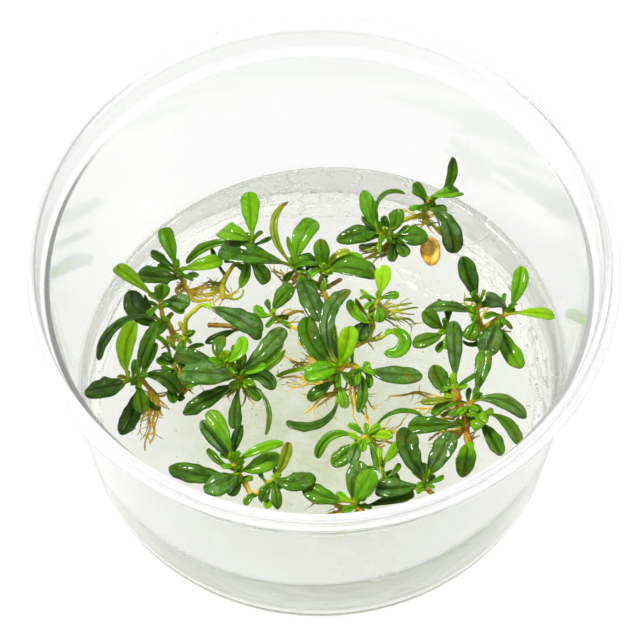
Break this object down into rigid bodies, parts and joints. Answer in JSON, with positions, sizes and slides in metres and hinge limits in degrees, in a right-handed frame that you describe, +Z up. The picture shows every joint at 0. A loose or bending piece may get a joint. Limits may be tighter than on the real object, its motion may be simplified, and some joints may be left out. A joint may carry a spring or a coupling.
{
  "type": "tissue culture needle leaf bucephalandra",
  "caption": "Clear round tub of slanted plant gel with tissue-cultured needle leaf bucephalandra plantlets rooted on it, lid off.",
  "frame": {"origin": "centre of the tub's foot, on the surface that it stands on", "axes": "+Z up along the tub's axis, -Y towards the side that the picture is taken from, +X to its right"},
  "size_m": [0.1, 0.1, 0.0547],
  "materials": {
    "gel": "clear watery agar gel, faintly grey-green, wet sheen",
    "leaf_bright": "bright green leaf, glossy",
    "leaf_dark": "dark green leaf, glossy, brown midrib",
    "leaf_green": "mid-green leaf, glossy",
    "leaf_silver": "dark green leaf with a silver-grey bloom, glossy",
    "leaf_withered": "withered yellow-orange leaf, limp, satin",
    "leaf_yellow": "young yellow-green leaf, glossy",
    "stem": "living stems and roots, yellow-green to orange-brown, satin",
    "tub_plastic": "clear, faintly frosted polypropylene, smooth and glossy"
  },
  "bodies": {
    "root": {"gel": "gel", "leaf_a1": "leaf_bright", "leaf_a4": "leaf_dark", "leaf_b1": "leaf_yellow", "leaf_b8": "leaf_dark", "leaf_c1": "leaf_yellow", "leaf_c5": "leaf_dark", "leaf_c7": "leaf_dark", "leaf_d1": "leaf_silver", "leaf_e1": "leaf_silver", "leaf_e7": "leaf_silver", "leaf_f13": "leaf_dark", "leaf_f2": "leaf_bright", "leaf_f5": "leaf_dark", "leaf_f8": "leaf_green", "leaf_g1": "leaf_silver", "leaf_g2": "leaf_dark", "leaf_g9": "leaf_dark", "leaf_h1": "leaf_bright", "leaf_h2": "leaf_green", "leaf_i1": "leaf_yellow", "leaf_i2": "leaf_bright", "leaf_i4": "leaf_dark", "leaf_i5": "leaf_silver", "leaf_i9": "leaf_silver", "leaf_j1": "leaf_yellow", "leaf_j8": "leaf_bright", "leaf_l2": "leaf_green", "leaf_m1": "leaf_dark", "leaf_m2": "leaf_silver", "leaf_m3": "leaf_silver", "leaf_n1": "leaf_silver", "leaf_n11": "leaf_silver", "leaf_n5": "leaf_dark", "leaf_n8": "leaf_green", "leaf_o1": "leaf_bright", "leaf_o5": "leaf_dark", "leaf_o9": "leaf_silver", "leaf_r4": "leaf_silver", "leaf_withered": "leaf_withered", "stem_a": "stem", "stem_b": "stem", "stem_c": "stem", "stem_d": "stem", "stem_e": "stem", "stem_f": "stem", "stem_g": "stem", "stem_h": "stem", "stem_i": "stem", "stem_j": "stem", "stem_k": "stem", "stem_l": "stem", "stem_m": "stem", "stem_n": "stem", "stem_o": "stem", "stem_q": "stem", "stem_r": "stem", "stem_s": "stem", "stem_t": "stem", "tub": "tub_plastic"}
  },
  "joints": []
}
